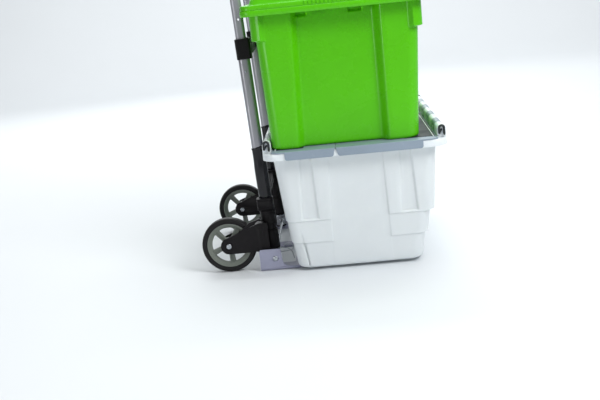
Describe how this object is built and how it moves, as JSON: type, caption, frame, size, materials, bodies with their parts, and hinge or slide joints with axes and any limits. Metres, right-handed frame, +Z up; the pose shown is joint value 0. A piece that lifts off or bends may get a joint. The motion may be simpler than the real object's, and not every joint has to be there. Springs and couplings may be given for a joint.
{
  "type": "folding hand trolley with storage boxes",
  "caption": "Folding wheeled hand trolley with a telescopic handle and a hinged toe plate, carrying a lidded tub stacked on a crate with a split hinged lid.",
  "frame": {"origin": "underside of the toe plate on the ground, midway between the uprights, where their leaning centre plane meets the ground", "axes": "+X forwards to the load side, +Y to the left, +Z up"},
  "size_m": [0.568, 0.575, 1.0097],
  "materials": {
    "aluminium": "satin drawn tube",
    "zinc_steel": "bright zinc plate",
    "grey_paint": "blue-grey powder coat",
    "black_plastic": "fine grained",
    "gloss_black_plastic": "smooth",
    "grip_rubber": "soft touch, ribbed",
    "tyre_rubber": "moulded, matt",
    "grey_plastic": "fine grained",
    "lid_plastic": "smooth moulded",
    "dark_grey_plastic": "smooth",
    "milky_plastic": "milky, slightly see-through",
    "green_plastic": "smooth moulded"
  },
  "bodies": {
    "frame": {"outer_tube_right": "aluminium", "outer_tube_left": "aluminium", "foot_plug_right": "black_plastic", "foot_plug_left": "black_plastic", "lower_sleeve_right": "gloss_black_plastic", "lower_sleeve_left": "gloss_black_plastic", "pivot_bush_right": "black_plastic", "pivot_bush_left": "black_plastic", "thrust_washer_right": "zinc_steel", "thrust_washer_left": "zinc_steel", "top_collar_right": "black_plastic", "top_collar_left": "black_plastic", "tube_stop_rivet_right": "zinc_steel", "tube_stop_rivet_left": "zinc_steel", "hinge_spacer_right": "black_plastic", "hinge_spacer_left": "black_plastic", "lower_crossbar": "black_plastic", "upper_crossbar": "black_plastic", "hinge_shaft": "zinc_steel", "button_spring": "zinc_steel", "torsion_spring_right": "zinc_steel", "torsion_spring_left": "zinc_steel"},
    "handle": {"inner_tube_right": "aluminium", "inner_tube_left": "aluminium", "inner_tube_plug_right": "black_plastic", "inner_tube_plug_left": "black_plastic", "handle_elbow_right": "black_plastic", "handle_elbow_left": "black_plastic", "handle_bar": "aluminium", "handle_grip": "grip_rubber"},
    "toe": {"toe_plate": "grey_paint"},
    "button": {"release_button": "dark_grey_plastic"},
    "crate": {"crate_shell": "milky_plastic", "crate_hinge_pin_rear": "dark_grey_plastic", "crate_hinge_pin_front": "dark_grey_plastic"},
    "lid_rear": {"crate_lid_rear": "lid_plastic"},
    "lid_front": {"crate_lid_front": "lid_plastic"},
    "tub": {"tub_shell": "green_plastic"},
    "tub_top": {"tub_lid": "green_plastic"},
    "arm_right": {"wheel_arm_right": "black_plastic", "axle_bolt_right": "zinc_steel", "axle_nut_right": "zinc_steel"},
    "wheel_right": {"tyre_right": "tyre_rubber", "wheel_hub_right": "grey_plastic", "wheel_bush_right": "zinc_steel"},
    "latch_right": {"latch_rod_right": "zinc_steel"},
    "arm_left": {"wheel_arm_left": "black_plastic", "axle_bolt_left": "zinc_steel", "axle_nut_left": "zinc_steel"},
    "wheel_left": {"tyre_left": "tyre_rubber", "wheel_hub_left": "grey_plastic", "wheel_bush_left": "zinc_steel"},
    "latch_left": {"latch_rod_left": "zinc_steel"}
  },
  "joints": [
    {"name": "handle_slide", "type": "slide", "parent": "frame", "child": "handle", "axis": [-0.04, 0, 0.9992], "range_m": [-0.41, 0]},
    {"name": "release_button_press", "type": "slide", "parent": "frame", "child": "button", "axis": [0.04, 0, -0.9992], "range_m": [0, 0.004], "stiffness_N_per_m": 800, "deforming": ["button_spring"]},
    {"name": "latch_right", "type": "slide", "parent": "frame", "child": "latch_right", "axis": [0, 1, 0], "range_m": [0, 0.004]},
    {"name": "latch_left", "type": "slide", "parent": "frame", "child": "latch_left", "axis": [0, -1, 0], "range_m": [0, 0.004]},
    {"name": "toe_fold", "type": "hinge", "parent": "frame", "child": "toe", "pos_m": [0.00487, 0, 0.02822], "axis": [0, -1, 0], "range_deg": [0, 90]},
    {"name": "arm_fold_right", "type": "hinge", "parent": "frame", "child": "arm_right", "pos_m": [0, -0.162, 0], "axis": [0.04, 0, -0.9992], "range_deg": [0, 90]},
    {"name": "arm_fold_left", "type": "hinge", "parent": "frame", "child": "arm_left", "pos_m": [0, 0.162, 0], "axis": [-0.04, 0, 0.9992], "range_deg": [0, 90]},
    {"name": "wheel_spin_right", "type": "hinge", "parent": "arm_right", "child": "wheel_right", "pos_m": [-0.099, -0.179, 0.0635], "axis": [0, 1, 0], "continuous": true},
    {"name": "wheel_spin_left", "type": "hinge", "parent": "arm_left", "child": "wheel_left", "pos_m": [-0.099, 0.179, 0.0635], "axis": [0, 1, 0], "continuous": true},
    {"name": "crate_lift", "type": "slide", "parent": "frame", "child": "crate", "axis": [0, 0, 1], "range_m": [0, 0.472]},
    {"name": "tub_lift", "type": "slide", "parent": "crate", "child": "tub", "axis": [0, 0, 1], "range_m": [0, 0.445]},
    {"name": "lid_rear_hinge", "type": "hinge", "parent": "crate", "child": "lid_rear", "pos_m": [0.016, 0, 0.298], "axis": [0, -1, 0], "range_deg": [0, 85]},
    {"name": "lid_front_hinge", "type": "hinge", "parent": "crate", "child": "lid_front", "pos_m": [0.395, 0, 0.298], "axis": [0, 1, 0], "range_deg": [0, 85]},
    {"name": "tub_lid_lift", "type": "slide", "parent": "tub", "child": "tub_top", "axis": [0, 0, 1], "range_m": [0, 0.12]}
  ],
  "couplings": [
    {"joint": "arm_fold_right", "follows": "toe_fold", "ratio": 1},
    {"joint": "arm_fold_left", "follows": "toe_fold", "ratio": 1},
    {"joint": "crate_lift", "follows": "toe_fold", "m_per_rad": 0.3},
    {"joint": "latch_right", "follows": "release_button_press", "ratio": 1},
    {"joint": "latch_left", "follows": "release_button_press", "ratio": 1},
    {"joint": "lid_rear_hinge", "follows": "tub_lift", "rad_per_m": 3.333},
    {"joint": "lid_front_hinge", "follows": "tub_lift", "rad_per_m": 3.333}
  ]
}
